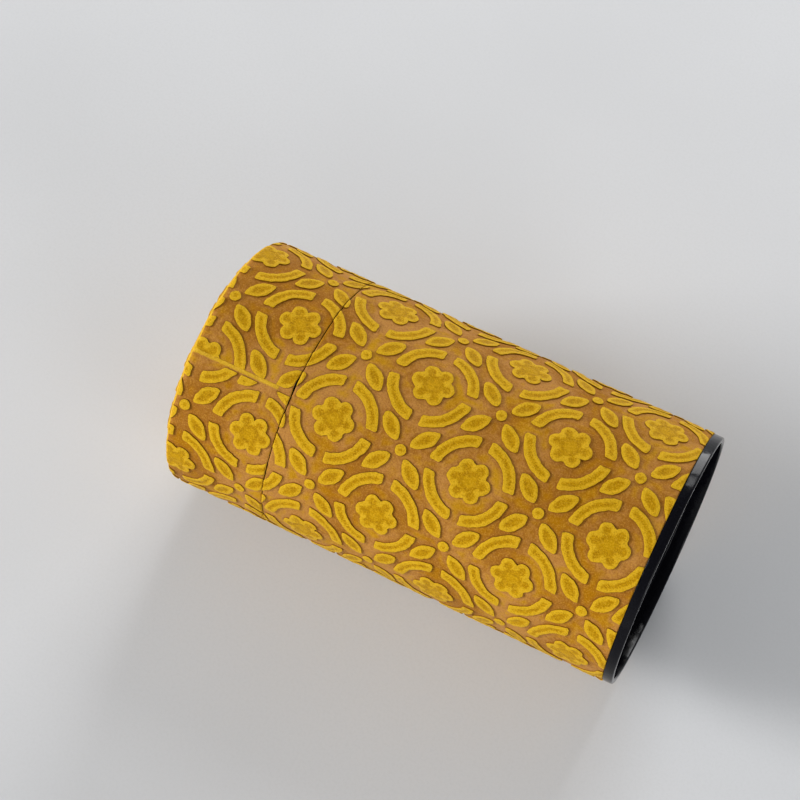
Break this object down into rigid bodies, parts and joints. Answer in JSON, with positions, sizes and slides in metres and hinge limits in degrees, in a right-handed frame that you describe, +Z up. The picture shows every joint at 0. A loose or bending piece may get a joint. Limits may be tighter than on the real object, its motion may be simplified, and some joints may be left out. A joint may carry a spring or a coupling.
{
  "type": "tea canister",
  "caption": "Round paper-covered tin canister lying on its side, with a pull-off outer lid over a neck and a knobbed inner lid.",
  "frame": {"origin": "centre of the bottom of the bounding box, on the surface that the canister lies on", "axes": "+X along the canister's axis from the lid to the foot, +Z up from the surface that it lies on"},
  "size_m": [0.149, 0.08, 0.08],
  "materials": {
    "ochre_paper": "matt, felted, raised ochre figures on brown",
    "black_enamel": "gloss",
    "tin": "bright tinplate",
    "black_knob": "gloss",
    "rivet_metal": "satin"
  },
  "bodies": {
    "canister": {"foot_ring": "black_enamel", "base_plate": "black_enamel", "body_tube": "tin", "body_paper": "ochre_paper", "neck_sleeve": "tin"},
    "outer_lid": {"lid_tube": "tin", "lid_top_plate": "tin", "lid_paper": "ochre_paper", "lid_top_paper": "ochre_paper"},
    "inner_lid": {"inner_lid_pan": "tin", "inner_lid_knob": "black_knob", "knob_rivet": "rivet_metal"}
  },
  "joints": [
    {"name": "outer_lid_slide", "type": "slide", "parent": "canister", "child": "outer_lid", "axis": [-1, 0, 0], "range_m": [0, 0.08]},
    {"name": "inner_lid_slide", "type": "slide", "parent": "canister", "child": "inner_lid", "axis": [-1, 0, 0], "range_m": [0, 0.04]}
  ],
  "couplings": [
    {"joint": "inner_lid_slide", "follows": "outer_lid_slide", "ratio": 0.5}
  ]
}
